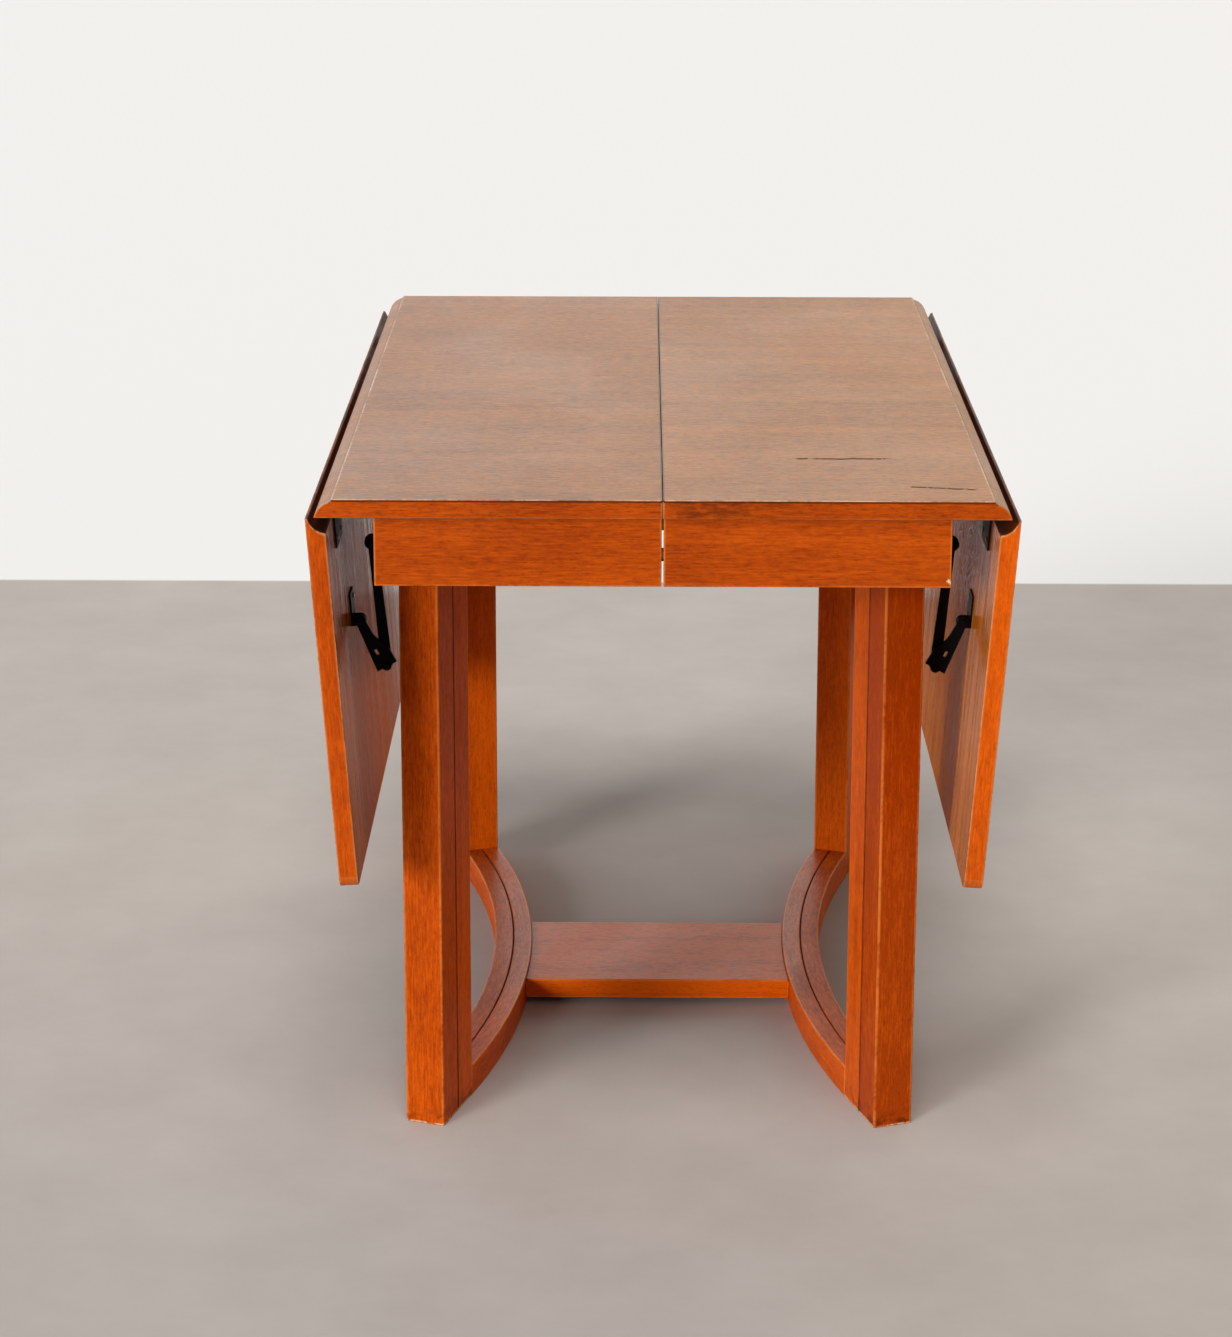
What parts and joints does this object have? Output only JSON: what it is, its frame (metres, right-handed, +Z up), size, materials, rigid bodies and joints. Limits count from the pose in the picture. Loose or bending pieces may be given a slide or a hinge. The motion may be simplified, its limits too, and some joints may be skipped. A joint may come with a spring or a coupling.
{
  "type": "drop-leaf extension table",
  "caption": "Wooden dining table whose top parts in the middle on sliding runners, with hinged end leaves on folding stays and turned legs on curved floor stretchers.",
  "frame": {"origin": "floor level under the middle of the closed table", "axes": "+Z up, +X the way the right half of the top slides out, +Y along the hinges to the rear"},
  "size_m": [0.7354, 1.067, 0.749],
  "materials": {
    "top_wood": "satin lacquer",
    "leaf_wood": "satin lacquer",
    "apron_wood": "satin lacquer",
    "leg_wood": "satin lacquer",
    "stretcher_wood": "satin lacquer",
    "shelf_wood": "satin lacquer",
    "frame_wood": "bare wood",
    "dowel_wood": "bare wood",
    "stay_steel": "worn black paint",
    "hinge_steel": "dull steel",
    "screw_steel": "dull steel"
  },
  "bodies": {
    "base": {"leg_front_left": "leg_wood", "leg_front_right": "leg_wood", "leg_rear_left": "leg_wood", "leg_rear_right": "leg_wood", "stretcher_left": "stretcher_wood", "stretcher_right": "stretcher_wood", "platform_shelf": "shelf_wood", "end_rail_left": "frame_wood", "end_rail_right": "frame_wood", "cross_rail_front": "frame_wood", "cross_rail_rear": "frame_wood", "fixed_slide_front": "frame_wood", "fixed_slide_rear": "frame_wood", "base_dowels": "dowel_wood", "slide_screws": "screw_steel"},
    "left_half": {"left_top_half": "top_wood", "left_apron_front": "apron_wood", "left_apron_rear": "apron_wood", "left_apron_side": "apron_wood", "left_runner_front": "frame_wood", "left_runner_rear": "frame_wood", "left_corner_blocks": "frame_wood", "left_hinge_top_plates": "hinge_steel", "left_hinge_pins": "hinge_steel", "left_stay_apron_brackets": "stay_steel", "left_stay_apron_pins": "stay_steel", "left_half_screws": "screw_steel", "left_align_dowels": "dowel_wood"},
    "left_leaf": {"left_drop_leaf": "leaf_wood", "left_hinge_leaf_plates": "hinge_steel", "left_stay_leaf_brackets": "stay_steel", "left_stay_leaf_pins": "stay_steel", "left_leaf_screws": "screw_steel"},
    "left_arms": {"left_stay_arms": "stay_steel", "left_stay_arm_rivets": "stay_steel"},
    "left_links": {"left_stay_links": "stay_steel", "left_stay_link_rivets": "stay_steel"},
    "right_half": {"right_top_half": "top_wood", "right_apron_front": "apron_wood", "right_apron_rear": "apron_wood", "right_apron_side": "apron_wood", "right_runner_front": "frame_wood", "right_runner_rear": "frame_wood", "right_corner_blocks": "frame_wood", "right_hinge_top_plates": "hinge_steel", "right_hinge_pins": "hinge_steel", "right_stay_apron_brackets": "stay_steel", "right_stay_apron_pins": "stay_steel", "right_half_screws": "screw_steel"},
    "right_leaf": {"right_drop_leaf": "leaf_wood", "right_hinge_leaf_plates": "hinge_steel", "right_stay_leaf_brackets": "stay_steel", "right_stay_leaf_pins": "stay_steel", "right_leaf_screws": "screw_steel"},
    "right_arms": {"right_stay_arms": "stay_steel", "right_stay_arm_rivets": "stay_steel"},
    "right_links": {"right_stay_links": "stay_steel", "right_stay_link_rivets": "stay_steel"}
  },
  "joints": [
    {"name": "left_half_slide", "type": "slide", "parent": "base", "child": "left_half", "axis": [-1, 0, 0], "range_m": [0, 0.305]},
    {"name": "right_half_slide", "type": "slide", "parent": "base", "child": "right_half", "axis": [1, 0, 0], "range_m": [0, 0.305]},
    {"name": "left_leaf_hinge", "type": "hinge", "parent": "left_half", "child": "left_leaf", "pos_m": [-0.345, 0, 0.7265], "axis": [0, 1, 0], "range_deg": [0, 94]},
    {"name": "left_arm_pivot", "type": "hinge", "parent": "left_half", "child": "left_arms", "pos_m": [-0.3125, 0, 0.6595], "axis": [0, 1, 0], "range_deg": [0, 109.99]},
    {"name": "left_link_pivot", "type": "hinge", "parent": "left_leaf", "child": "left_links", "pos_m": [-0.32664, 0, 0.5714], "axis": [0, -1, 0], "range_deg": [0, 129.63]},
    {"name": "right_leaf_hinge", "type": "hinge", "parent": "right_half", "child": "right_leaf", "pos_m": [0.345, 0, 0.7265], "axis": [0, -1, 0], "range_deg": [0, 94]},
    {"name": "right_arm_pivot", "type": "hinge", "parent": "right_half", "child": "right_arms", "pos_m": [0.3125, 0, 0.6595], "axis": [0, -1, 0], "range_deg": [0, 109.99]},
    {"name": "right_link_pivot", "type": "hinge", "parent": "right_leaf", "child": "right_links", "pos_m": [0.32664, 0, 0.5714], "axis": [0, 1, 0], "range_deg": [0, 129.63]}
  ],
  "couplings": [
    {"joint": "left_arm_pivot", "follows": "left_leaf_hinge", "ratio": 1.17},
    {"joint": "left_link_pivot", "follows": "left_leaf_hinge", "ratio": 1.3789},
    {"joint": "right_arm_pivot", "follows": "right_leaf_hinge", "ratio": 1.17},
    {"joint": "right_link_pivot", "follows": "right_leaf_hinge", "ratio": 1.3789}
  ]
}
